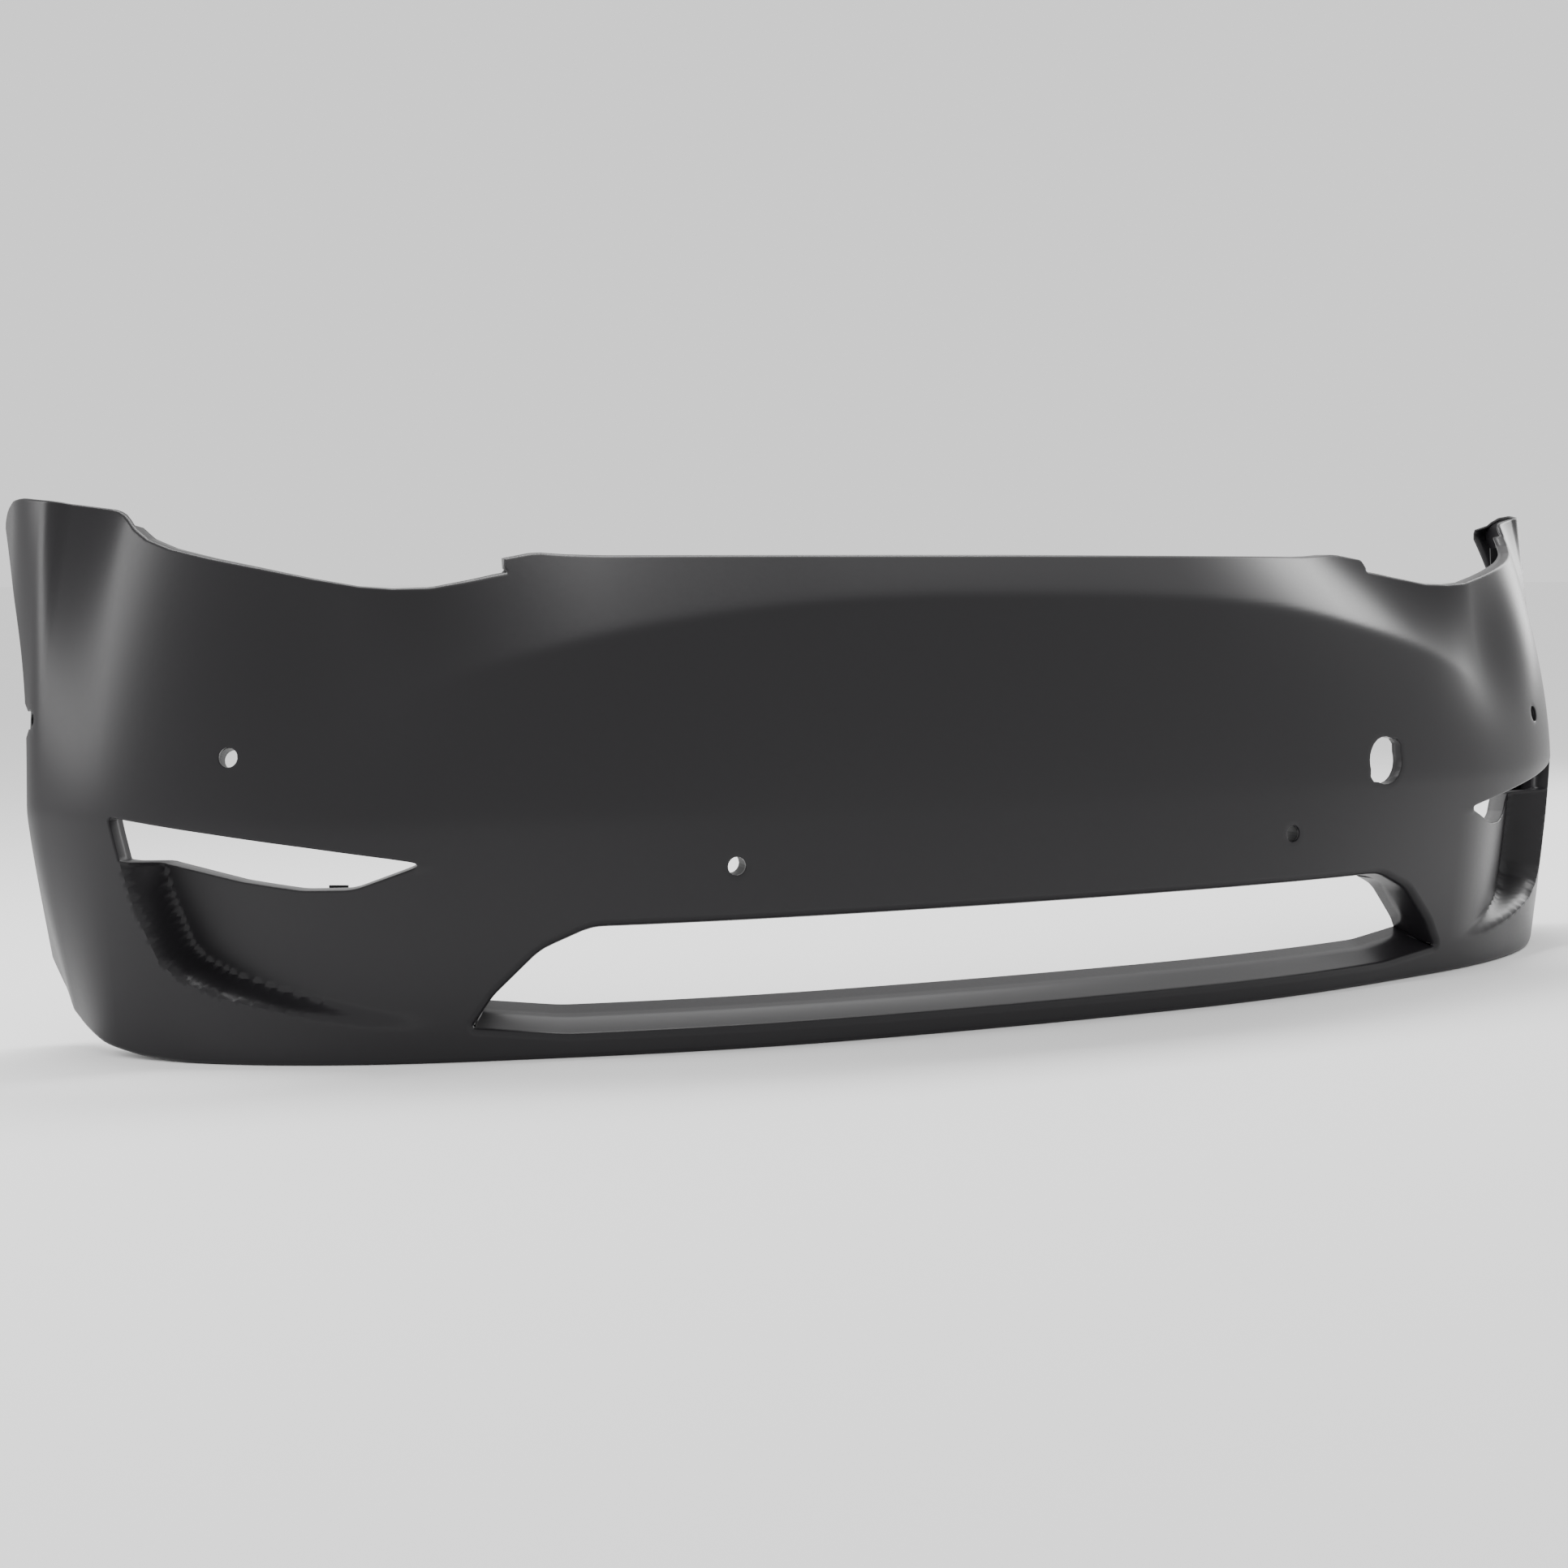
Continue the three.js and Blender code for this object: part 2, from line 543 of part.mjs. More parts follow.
/** Pan-head screw, head outwards along local +Y, shank towards -Y. */
function screw() {
  const head = SCREW_HEAD / 2;
  const shank = SCREW_SHANK / 2;
  const profile = [[0, -SCREW_LENGTH], [shank * 0.5, -SCREW_LENGTH], [shank, -SCREW_LENGTH + 2], [shank, 0],
    [head, 0], [head, 1.2], [head * 0.75, 2.6], [head * 0.35, 3], [0, 3]];
  const geometry = new THREE.LatheGeometry(profile.map(([x, y]) => new THREE.Vector2(x, y)), 12);
  const slot = [0, Math.PI / 2].map((angle) => toSolid(block([5, 2, 1.1], [0, 2.9, 0]).rotateY(angle)));
  return cut(toSolid(geometry), slot);
}

/** Spring nut that clasps a flange edge: two leaves, a bend and a pressed thread barrel. */
function springNut() {
  const near = WALL / 2 + GAP * 2;
  const far = near + NUT_SHEET;
  const profile = [[-NUT_REACH, near], [NUT_CLEAR, near], [NUT_CLEAR, -near], [-NUT_REACH, -near], [-NUT_REACH, -far],
    [NUT_CLEAR + NUT_SHEET, -far], [NUT_CLEAR + NUT_SHEET, far], [-NUT_REACH, far]];
  const shape = new THREE.Shape(profile.map(([y, z]) => new THREE.Vector2(y, z)));
  const strip = new THREE.ExtrudeGeometry(shape, { depth: NUT_WIDTH, bevelEnabled: false });
  const turn = new THREE.Matrix4().makeBasis(new THREE.Vector3(0, 1, 0), new THREE.Vector3(0, 0, 1),
    new THREE.Vector3(1, 0, 0));
  strip.translate(0, 0, -NUT_WIDTH / 2).applyMatrix4(turn);
  const upright = (radius, low, high) => new THREE.CylinderGeometry(radius, radius, high - low, 12)
    .rotateX(Math.PI / 2).translate(0, -NUT_REACH * 0.55, (low + high) / 2);
  const barrel = toSolid(upright(4.4, near + 0.2, far + 4));
  return cut(join([toSolid(strip), barrel]), [toSolid(upright(2.4, -10, 20))]);
}

// ---------------------------------------------------------------- the model
const BLACK = { color: 0x2e2c2f, roughness: 0.42, metalness: 0 };
const FINISHES = {
  cover: BLACK,
  holder: { color: 0x1c1c1e, roughness: 0.6, metalness: 0 },
  bracket: { color: 0x232326, roughness: 0.55, metalness: 0 },
  duct: { color: 0x1a1a1c, roughness: 0.65, metalness: 0 },
  screw: { color: 0x8d9096, roughness: 0.35, metalness: 1 },
  nut: { color: 0x4a4b4e, roughness: 0.4, metalness: 1 },
};

const model = new THREE.Group();

/** Adds a named piece, set in a frame of the cover. */
function addPiece(name, finish, solid, frame = new THREE.Matrix4()) {
  const mesh = new THREE.Mesh(toGeometry(solid), new THREE.MeshStandardMaterial(FINISHES[finish]));
  mesh.name = name;
  frame.decompose(mesh.position, mesh.quaternion, mesh.scale);
  model.add(mesh);
}

/** Frame moved along its own axes. */
function moved(frame, x, y, z) {
  return frame.clone().multiply(new THREE.Matrix4().makeTranslation(x, y, z));
}

/** Adds the screws of a screwed piece, seated on its outer face. */
function addScrews(name, place, thickness) {
  place.holes.forEach(([x, z], i) => {
    addPiece(`${name}_${i + 1}`, "screw", screw(), moved(place.frame, x, place.seat + thickness + GAP * 2, z));
  });
}

/** Adds everything that is fitted to one side. */
function addSide(name, side) {
  for (const [kind, [u, z]] of Object.entries(SENSORS)) {
    const frame = frameOn(side * u, z, holderDepth(side * u, z));
    addPiece(`sensor_holder_${kind}_${name}`, "holder", sensorHolder(), frame);
  }
  const wing = WING_SITE(side);
  addPiece(`wing_bracket_${name}`, "bracket", wingBracket(side, wing.holes), moved(wing.frame, 0, wing.seat + GAP, 0));
  addScrews(`wing_screw_${name}`, wing, 2.5);
  const lamp = LAMP_SITE(side);
  addPiece(`lamp_carrier_${name}`, "bracket", lampCarrier(side, lamp.holes), moved(lamp.frame, 0, lamp.seat + GAP, 0));
  addScrews(`carrier_screw_${name}`, lamp, 3);
  const duct = cut(ductTube(side, DUCT_WALL, DUCT_FROM, DUCT_TO), [ductTube(side, 0, DUCT_FROM - 20, DUCT_TO + 20)]);
  addPiece(`air_duct_${name}`, "duct", duct);
}

addPiece("cover", "cover", coverSolid());
Object.entries(SIDES).forEach(([name, side]) => addSide(name, side));
for (const [name, frame] of Object.entries(nutFrames())) addPiece(name, "nut", springNut(), frame);

// The origin is under the middle of the cover, at the height of its lower edge.
const bounds = new THREE.Box3().setFromObject(model);
model.position.set(0, -(bounds.min.y + bounds.max.y) / 2, -bounds.min.z);
const part = new THREE.Group();
part.add(model);

export default part;
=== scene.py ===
"""Front bumper cover of a compact crossover, finished for a studio view.

The moulded skin is one surface worked out from a plan curve and a few swellings. A place on it is
a station u (millimetres along the plan curve from the centre line) and a height z. Openings and
edges are outlines in (u, z); the skin is trimmed along them and its edges are turned inwards.
"""

import json
import logging
import math
from dataclasses import dataclass, field
from enum import Enum

import bpy
import numpy as np
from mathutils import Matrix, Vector


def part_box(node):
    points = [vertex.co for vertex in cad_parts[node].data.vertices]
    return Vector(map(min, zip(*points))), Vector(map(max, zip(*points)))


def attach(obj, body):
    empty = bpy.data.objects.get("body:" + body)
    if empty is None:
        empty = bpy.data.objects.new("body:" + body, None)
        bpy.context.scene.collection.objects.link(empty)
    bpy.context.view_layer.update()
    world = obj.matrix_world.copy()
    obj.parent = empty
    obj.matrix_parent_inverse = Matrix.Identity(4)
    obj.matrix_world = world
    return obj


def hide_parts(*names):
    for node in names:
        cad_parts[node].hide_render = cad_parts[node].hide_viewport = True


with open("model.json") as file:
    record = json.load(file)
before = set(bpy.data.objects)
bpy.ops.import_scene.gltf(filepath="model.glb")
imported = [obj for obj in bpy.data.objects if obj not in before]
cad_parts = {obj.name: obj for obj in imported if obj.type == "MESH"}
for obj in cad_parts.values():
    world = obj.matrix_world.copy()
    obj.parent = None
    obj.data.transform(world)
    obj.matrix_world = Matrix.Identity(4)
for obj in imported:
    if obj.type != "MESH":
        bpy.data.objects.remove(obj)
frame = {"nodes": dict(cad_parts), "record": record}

LOG = logging.getLogger("bumper")
MM = 0.001
Array = np.ndarray


# ---------------------------------------------------------------- small formulas
def ease(start: float, end: float, value: Array) -> Array:
    """Smooth step: 3t^2 - 2t^3 with t the share of the way from start to end.

    Args:
        start: Value where the step begins.
        end: Value where the step is complete.
        value: Where to read it.

    Returns:
        0 before start, 1 after end, smooth between them.
    """
    share = np.clip((value - start) / (end - start), 0.0, 1.0)
    return share * share * (3.0 - 2.0 * share)


def hermite(places: list, values: list, query: Array) -> Array:
    """Smooth curve through points: cubic pieces whose slopes are the mean of their neighbours'.

    Args:
        places: Rising places of the points.
        values: Values there.
        query: Where to read the curve.

    Returns:
        The value of the curve at each place asked for, held at both ends.
    """
    place = np.asarray(places, float)
    value = np.asarray(values, float)
    slope = np.diff(value) / np.diff(place)
    knot = np.concatenate([[slope[0]], (slope[1:] + slope[:-1]) / 2, [slope[-1]]])
    at = np.clip(query, place[0], place[-1])
    span = np.clip(np.searchsorted(place, at, side="right") - 1, 0, len(place) - 2)
    width = place[span + 1] - place[span]
    t = (at - place[span]) / width
    return (value[span] * (1 + 2 * t) * (1 - t) ** 2 + value[span + 1] * t * t * (3 - 2 * t)
            + knot[span] * width * t * (1 - t) ** 2 - knot[span + 1] * width * t * t * (1 - t))


# ---------------------------------------------------------------- the form of the skin
@dataclass(frozen=True)
class PlanCurve:
    """The line the skin follows in plan, given by how far it has turned at each station."""

    length: float = 1185.0
    stations: tuple = (0, 325, 620, 760, 860, 950, 1010, 1036, 1100, 1300)
    turns: tuple = (0, 4.6, 16, 27.7, 40.6, 54, 62, 84, 86.5, 89)

    def walk(self) -> tuple[Array, Array, Array, Array]:
        """Adds up short steps along the curve.

        Returns:
            Stations, and the x, y and turn (radians) of the curve at each.
        """
        u = np.arange(0.0, self.length + 60.0, 1.0)
        turn = np.radians(np.interp(u, self.stations, self.turns))
        smooth = np.convolve(np.pad(turn, 12, mode="edge"), np.ones(25) / 25, mode="valid")
        turn = np.where(u < 980, smooth, turn)
        x = np.concatenate([[0.0], np.cumsum(np.cos(turn[1:]))])
        y = np.concatenate([[0.0], np.cumsum(np.sin(turn[1:]))])
        return u, x, y, turn


@dataclass
class SkinForm:
    """The outer face: the plan curve with its lower tuck, upper lean, valley, nose and scoops."""

    front: float
    plan: PlanCurve = field(default_factory=PlanCurve)
    hood_edge: float = 470.0
    crease_drop: float = 40.0
    crease_fall: float = 59.0
    nose_lean: float = 0.4
    nose_radius: float = 5.0
    scoop_depth: float = 46.0
    scoop_wall: float = 16.0
    scoop_rim: tuple = ((584, 26), (681, 37), (747, 49), (815, 64), (853, 79), (874, 95),
                        (883, 113), (898, 146), (911, 189), (925, 240))

    def __post_init__(self) -> None:
        """Walks the plan curve once."""
        self.table = self.plan.walk()

    def crease(self, u: Array) -> Array:
        """Height of the crease: it falls with the 2.6th power of the station."""
        share = np.minimum(np.abs(u) / 540.0, 1.3)
        return self.hood_edge - self.crease_drop - self.crease_fall * share ** 2.6

    def swell(self, u: Array, z: Array) -> Array:
        """How far the face stands outside the plan curve.

        Args:
            u: Stations.
            z: Heights.

        Returns:
            The sum of the tuck below, the lean above, the valley beside the nose, and the nose
            band that lies back above the crease (half of a hyperbola, so the crease is round).
        """
        size = np.abs(u)
        corner = ease(200, 560, size)
        low = np.maximum(0.0, (230.0 - z) / 230.0) ** 1.3
        tuck = (4.0 + 14.0 * corner + 30.0 * ease(930, 1040, size)) * low
        upright = ease(940, 1090, size)
        lean = (25.0 + 43.0 * corner - 60.0 * upright) * np.maximum(0.0, (z - 220.0) / 300.0) ** 1.6
        valley = 18.0 * np.exp(-((size - 700.0) / 85.0) ** 2 - ((z - 365.0) / 85.0) ** 2)
        above = z - self.crease(u)
        band = self.nose_lean * (1.0 - ease(430, 690, size))
        nose = band * (above + np.hypot(above, self.nose_radius))
        return -tuck - lean - valley - nose

    def rim_distance(self, u: Array, z: Array) -> Array:
        """Distance from the scoop's rim, positive inside the scoop.

        Args:
            u: Stations.
            z: Heights.

        Returns:
            For each place, the least distance to the rim's straight pieces, with its sign.
        """
        rim = np.asarray(self.scoop_rim, float)
        place = np.stack([np.abs(u), z], axis=-1)
        gap = polyline_distance(place, rim)
        inside = z > np.interp(place[..., 0], rim[:, 0], rim[:, 1])
        inside &= place[..., 0] < np.interp(z, rim[:, 1], rim[:, 0])
        return np.where(inside, gap, -gap)

    def scoop(self, u: Array, z: Array) -> Array:
        """Depth of the scoop: it deepens outwards, and steps up at its rim and at the slit."""
        size = np.abs(u)
        rim = ease(0.0, self.scoop_wall, self.rim_distance(u, z))
        below = 1.0 - ease(-8.0, -6.0, z - slit_top(size))
        return self.scoop_depth * rim * below * ease(600, 880, size)

    def point(self, u: Array, z: Array, depth: Array) -> Array:
        """Places on the skin, in metres in the row's frame.

        Args:
            u: Stations.
            z: Heights.
            depth: Depth below the outer face, without the scoop.

        Returns:
            One x, y, z for each place: the plan curve moved along its own level normal.
        """
        stations, xs, ys, turns = self.table
        size = np.abs(u)
        side = np.where(u < 0, -1.0, 1.0)
        turn = np.interp(size, stations, turns)
        out = self.swell(u, z) - depth
        x = side * (np.interp(size, stations, xs) + np.sin(turn) * out)
        y = np.interp(size, stations, ys) - np.cos(turn) * out
        return np.stack([x * MM, y * MM + self.front, z * MM], axis=-1)


def slit_top(size: Array) -> Array:
    """Upper edge of the lamp slit at each station."""
    return np.interp(size, (620, 640, 726, 815, 919), (189, 193, 203, 215, 226))


# ---------------------------------------------------------------- outlines
class Kind(Enum):
    """Which edge of the skin an outline belongs to."""

    HOOD = 0
    LAMP = 1
    WING = 2
    ARCH = 3
    FLOOR = 4
    GRILLE = 5
    SLIT = 6
    SENSOR = 7
    TOW = 8
    SILL = 9


@dataclass(frozen=True)
class Edge:
    """How the skin is finished along an outline, in millimetres.

    Attributes:
        margin: Breadth of the strip that is fitted along the outline.
        roll: Radius of the round between the face and the turned edge.
        depth: How far the turned edge runs inwards.
        draft: How much the turned edge closes in per millimetre of depth.
    """

    margin: float
    roll: float
    depth: float
    draft: float = 0.0


EDGES = {
    Kind.HOOD: Edge(3.0, 2.2, 24.0),
    Kind.LAMP: Edge(4.0, 3.2, 14.0),
    Kind.WING: Edge(2.6, 2.0, 5.0),
    Kind.ARCH: Edge(3.0, 2.4, 20.0),
    Kind.FLOOR: Edge(5.0, 4.4, 38.0, -0.105),
    Kind.GRILLE: Edge(9.0, 8.0, 52.0),
    Kind.SLIT: Edge(2.6, 1.8, 20.0),
    Kind.SENSOR: Edge(6.5, 0.9, 3.4),
    Kind.TOW: Edge(7.0, 1.4, 13.0),
    Kind.SILL: Edge(9.0, 7.0, 52.0, 0.36),
}


def polyline_distance(place: Array, line: Array) -> Array:
    """Least distance from each place to a chain of straight pieces.

    Args:
        place: Places, with u and z last.
        line: Corners of the chain.

    Returns:
        The distance of each place: to the foot of its perpendicular on each piece, or its end.
    """
    start = line[:-1]
    run = line[1:] - line[:-1]
    away = place[..., None, :] - start
    share = np.clip((away * run).sum(-1) / (run * run).sum(-1), 0.0, 1.0)
    return np.sqrt(((away - share[..., None] * run) ** 2).sum(-1)).min(-1)


def rounded(points: list) -> Array:
    """Outline with its corners turned into arcs.

    Args:
        points: Corners as (u, z, radius); a radius of 0 keeps the corner.

    Returns:
        The outline as closely spaced places: each corner is a quadratic curve that leaves and
        meets its two sides at the distance of a tangent arc of that radius.
    """
    corners = np.array([(u, z) for u, z, _ in points], float)
    chain = []
    for i, (_, _, radius) in enumerate(points):
        here = corners[i]
        back = corners[i - 1] - here
        ahead = corners[(i + 1) % len(points)] - here
        if radius <= 0:
            chain.append(here[None])
            continue
        cosine = float(back @ ahead / (np.linalg.norm(back) * np.linalg.norm(ahead)))
        half = math.acos(max(-1.0, min(1.0, cosine))) / 2
        reach = min(radius / max(math.tan(half), 1e-3), 0.48 * np.linalg.norm(back),
                    0.48 * np.linalg.norm(ahead))
        t = np.linspace(0.0, 1.0, 9)[:, None]
        first = here + back / np.linalg.norm(back) * reach
        last = here + ahead / np.linalg.norm(ahead) * reach
        chain.append((1 - t) ** 2 * first + 2 * t * (1 - t) * here + t * t * last)
    return np.concatenate(chain)


@dataclass
class Outline:
    """A closed outline in (u, z) that the skin is trimmed to.

    Attributes:
        kinds: The edge that each straight piece belongs to.
        corners: The outline's places, in order.
        hole: True where the skin lies outside the outline.
    """

    corners: Array
    kinds: list
    hole: bool = True

    def read(self, u: Array, z: Array) -> tuple[Array, Array]:
        """Signed distance less the edge's margin, and the kind of the nearest piece.

        Args:
            u: Stations.
            z: Heights.

        Returns:
            Distance into the material, and the number of the edge's kind, at each place.
        """
        start = self.corners
        run = np.roll(start, -1, axis=0) - start
        place = np.stack([u, z], axis=-1)
        near = np.full(u.shape, np.inf)
        which = np.zeros(u.shape, int)
        odd = np.zeros(u.shape, bool)
        for i, (a, d) in enumerate(zip(start, run)):
            away = place - a
            length = max(float(d @ d), 1e-12)
            share = np.clip((away @ d) / length, 0.0, 1.0)
            gap = np.hypot(away[..., 0] - share * d[0], away[..., 1] - share * d[1])
            closer = gap < near - 1e-9
            near = np.where(closer, gap, near)
            which = np.where(closer, self.kinds[i].value, which)
            spans = (away[..., 1] >= 0) != (away[..., 1] - d[1] >= 0)
            ahead = away[..., 0] < away[..., 1] * d[0] / (d[1] if abs(d[1]) > 1e-12 else 1e-12)
            odd ^= spans & ahead
        solid = ~odd if self.hole else odd
        return np.where(solid, near, -near), which


def circle(u: float, z: float, radius: float, count: int = 56) -> Array:
    """Evenly spaced places round a circle in (u, z)."""
    angle = np.linspace(0.0, 2 * math.pi, count, endpoint=False)
    return np.stack([u + radius * np.cos(angle), z + radius * np.sin(angle)], axis=-1)


def notched(u: float, z: float, radius: float, notch: float) -> Array:
    """A circle with two square-ended notches, upper right and lower left.

    Args:
        u: Station of the centre.
        z: Height of the centre.
        radius: Radius of the circle.
        notch: Depth of the notches.

    Returns:
        Places round the outline.
    """
    angle = np.linspace(0.0, 2 * math.pi, 144, endpoint=False)
    near = np.abs((angle - math.radians(40.0) + math.pi / 2) % math.pi - math.pi / 2)
    reach = radius + notch * (1.0 - ease(0.15, 0.22, near))
    return np.stack([u + reach * np.cos(angle), z + reach * np.sin(angle)], axis=-1)


def mirrored(chain: Array) -> Array:
    """The same outline on the other side, still run the same way round."""
    return (chain * (-1.0, 1.0))[::-1]


@dataclass
class CoverOutlines:
    """Sizes of the cover's edges and openings, in millimetres of station and height."""

    hood_half: float = 541.0
    hood_edge: float = 470.0
    wing_top: float = 525.0
    grille_half: float = 577.0
    grille_low: float = 28.0
    grille_high: float = 122.0
    arch_radius: float = 450.0
    arch_front: float = 318.0
    arch_centre: float = 230.0
    sensor_bore: float = 18.0
    sensors: tuple = ((325, 177), (800, 286), (1034, 315))
    tow_bore: float = 54.0
    tow_place: tuple = (464, 249)

    def arch(self, form: SkinForm, count: int = 40) -> Array:
        """Edge of the wheel opening: a circle in side view, carried onto the skin's stations."""
        stations, _, ys, _ = form.table
        low = math.asin((80.0 - self.arch_centre) / self.arch_radius)
        high = math.asin((self.wing_top - 27.0 - self.arch_centre) / self.arch_radius)
        angle = np.linspace(low, high, count)
        y = self.arch_front + self.arch_radius * (1.0 - np.cos(angle))
        u = np.interp(y, ys, stations)
        return np.stack([u, self.arch_centre + self.arch_radius * np.sin(angle)], axis=-1)

    def body(self, form: SkinForm) -> Outline:
        """Outer outline of the skin: floor edge, wheel openings, side tops, lamp cuts, hood edge."""
        edge, top = self.hood_edge, self.wing_top
        floor = [(0, 0), (850, 0), (905, 4), (950, 12), (990, 24), (1020, 38), (1044, 58)]
        upper = [(1120, top - 15), (1110, top - 9), (1093, top - 3), (1070, top - 1),
                 (1025, top - 5), (960, top - 13),
                 (949, top - 18), (936, edge + 27), (912, edge + 15), (880, edge + 6),
                 (832, edge - 3), (779, edge - 12), (725, edge - 22), (680, edge - 29),
                 (647, edge - 31), (610, edge - 30), (570, edge - 23), (545, edge - 18),
                 (533, edge - 16), (541, edge - 4), (500, edge + 3), (470, edge + 1), (430, edge),
                 (0, edge + 1)]
        kinds = ([Kind.FLOOR] * len(floor) + [Kind.ARCH] * 40
                 + [Kind.WING] * 7 + [Kind.LAMP] * 12 + [Kind.HOOD] * 5)
        half = np.concatenate([np.array(floor, float), self.arch(form), np.array(upper, float)])
        kinds = kinds[:len(half) - 1]
        other = (half * (-1.0, 1.0))[::-1][1:-1]
        return Outline(np.concatenate([half, other]), kinds + kinds[::-1], hole=False)

    def grille(self) -> Outline:
        """Lower mouth: straight below, pointed lower corners, sloping ends with round shoulders."""
        low, high, half = self.grille_low, self.grille_high, self.grille_half
        right = [(half, low + 5, 2), (half - 20, low + 34, 60), (half - 64, high - 18, 60),
                 (half - 112, high + 2, 60)]
        left = [(-u, z, r) for u, z, r in reversed(right)]
        chain = rounded(right + left + [(-half + 90, low - 4, 200), (half - 90, low - 4, 200)])
        foot = chain[:, 1] < low + 7
        kinds = [Kind.SILL if sill else Kind.GRILLE for sill in foot & np.roll(foot, -1)]
        return Outline(chain, kinds)

    def slit(self) -> Array:
        """Lamp slit on the right: a long wedge with a round inner tip."""
        return rounded([(620, 188, 7), (686, 164, 60), (735, 162, 90), (800, 168, 90),
                        (890, 182, 40), (911, 189, 1), (917, 212, 20), (921, 229, 3),
                        (815, 216, 60), (726, 204, 60), (650, 193, 60)])

    def all(self, form: SkinForm) -> list[Outline]:
        """Every outline of the cover."""
        slit = self.slit()
        found = [self.body(form), self.grille()]
        found += [Outline(chain, [Kind.SLIT] * len(chain)) for chain in (slit, mirrored(slit))]
        for u, z in self.sensors:
            for side in (-1, 1):
                chain = circle(side * u, z, self.sensor_bore / 2)
                found.append(Outline(chain, [Kind.SENSOR] * len(chain)))
        tow = notched(*self.tow_place, self.tow_bore / 2 - 1.0, 4.0)
        return found + [Outline(tow, [Kind.TOW] * len(tow))]


# ---------------------------------------------------------------- trimming a grid
@dataclass
class Mesh:
    """Places and faces of a surface under construction."""

    places: Array
    faces: list

    def add(self, places: Array, faces: list) -> None:
        """Adds places, and faces that already count them after the ones here."""
        self.places = np.concatenate([self.places, places])
        self.faces.extend(faces)


class TrimmedSheet:
    """A grid over (u, z) cut off along outlines, with its edges turned inwards."""

    def __init__(self, form: SkinForm, outlines: list[Outline]) -> None:
        """Keeps the form and the outlines, and lists the edges' sizes by kind number."""
        self.form = form
        self.outlines = outlines
        order = sorted(EDGES, key=lambda kind: kind.value)
        self.margin, self.roll, self.depth, self.draft = (
            np.array([getattr(EDGES[kind], name) for kind in order])
            for name in ("margin", "roll", "depth", "draft"))

    def read(self, u: Array, z: Array) -> tuple[Array, Array]:
        """Distance into the trimmed sheet and the kind of edge, least over all outlines.

        Args:
            u: Stations.
            z: Heights.

        Returns:
            Distance from the trimmed sheet's border, positive inside, and the kind's number.
        """
        best = np.full(u.shape, np.inf)
        kind = np.zeros(u.shape, int)
        for outline in self.outlines:
            low = outline.corners.min(0) - 60.0
            high = outline.corners.max(0) + 60.0
            near = (u > low[0]) & (u < high[0]) & (z > low[1]) & (z < high[1])
            if not near.any():
                continue
            gap, which = outline.read(u[near], z[near])
            gap = gap - self.margin[which]
            closer = gap < best[near]
            best[near] = np.where(closer, gap, best[near])
            kind[near] = np.where(closer, which, kind[near])
        outside = np.isinf(best)
        best[outside] = 60.0
        return best, kind

    def snap(self, u: Array, z: Array, reach: float) -> tuple[Array, Array]:
        """Moves places that lie near the scoop's rim onto it, along the way the distance falls.

        Args:
            u: Stations of the grid.
            z: Heights of the grid.
            reach: How near a place must be, in millimetres.

        Returns:
            The moved stations and heights.
        """
        for _ in range(2):
            gap = self.form.rim_distance(u, z)
            step = 0.05
            slope_u = (self.form.rim_distance(u + step, z) - self.form.rim_distance(u - step, z)) / (2 * step)
            slope_z = (self.form.rim_distance(u, z + step) - self.form.rim_distance(u, z - step)) / (2 * step)
            near = (np.abs(gap) < reach) & (np.abs(u) > 600) & (z < 215)
            u = np.where(near, u - gap * slope_u, u)
            z = np.where(near, z - gap * slope_z, z)
        return u, z

    def cut(self, u: Array, z: Array, gap: Array, first: tuple, second: tuple) -> tuple[Array, Array]:
        """Places where grid lines meet the border, by two rounds of false position.

        Args:
            u: Stations of the grid.
            z: Heights of the grid.
            gap: Distance into the sheet at the grid.
            first: Index arrays of one end of each line.
            second: Index arrays of the other end.

        Returns:
            Station and height of each crossing.
        """
        a = np.stack([u[first], z[first]], axis=-1)
        b = np.stack([u[second], z[second]], axis=-1)
        low, high = gap[first], gap[second]
        for _ in range(4):
            share = (low / (low - high))[:, None]
            middle = a + share * (b - a)
            value, _ = self.read(middle[:, 0], middle[:, 1])
            same = (value > 0) == (low > 0)
            a = np.where(same[:, None], middle, a)
            b = np.where(same[:, None], b, middle)
            low = np.where(same, value, low)
            high = np.where(same, high, value)
            low = np.where(low == high, low + 1e-9, low)
        middle = np.where((np.abs(low) < np.abs(high))[:, None], a, b)
        return middle[:, 0], middle[:, 1]

    def build(self, stations: Array, heights: Array) -> Mesh:
        """Trims the grid, shapes it and turns its edges in.

        Args:
            stations: Rising stations of the grid's columns.
            heights: Rising heights of its rows.

        Returns:
            The outer face of the skin with its turned edges, facing outwards.
        """
        u, z = np.meshgrid(stations, heights, indexing="ij")
        u, z = self.snap(u, z, 1.7)
        gap, _ = self.read(u, z)
        inside = gap > 0
        number = np.full(u.shape, -1)
        number[inside] = np.arange(inside.sum())
        count = int(inside.sum())
        along = np.nonzero(inside[:-1] != inside[1:])
        across = np.nonzero(inside[:, :-1] != inside[:, 1:])
        cut_u, cut_z = (np.concatenate(pair) for pair in zip(
            self.cut(u, z, gap, along, (along[0] + 1, along[1])),
            self.cut(u, z, gap, across, (across[0], across[1] + 1))))
        along_id = np.full(u.shape, -1)
        along_id[along] = count + np.arange(len(along[0]))
        across_id = np.full(u.shape, -1)
        across_id[across] = count + len(along[0]) + np.arange(len(across[0]))
        faces, border = self.cells(inside, number, along_id, across_id)
        all_u = np.concatenate([u[inside], cut_u])
        all_z = np.concatenate([z[inside], cut_z])
        deep = self.form.scoop(all_u, all_z)
        sheet = Mesh(self.form.point(all_u, all_z, deep), faces)
        self.turn_in(sheet, cut_u, cut_z, deep[count:], border, count)
        return sheet

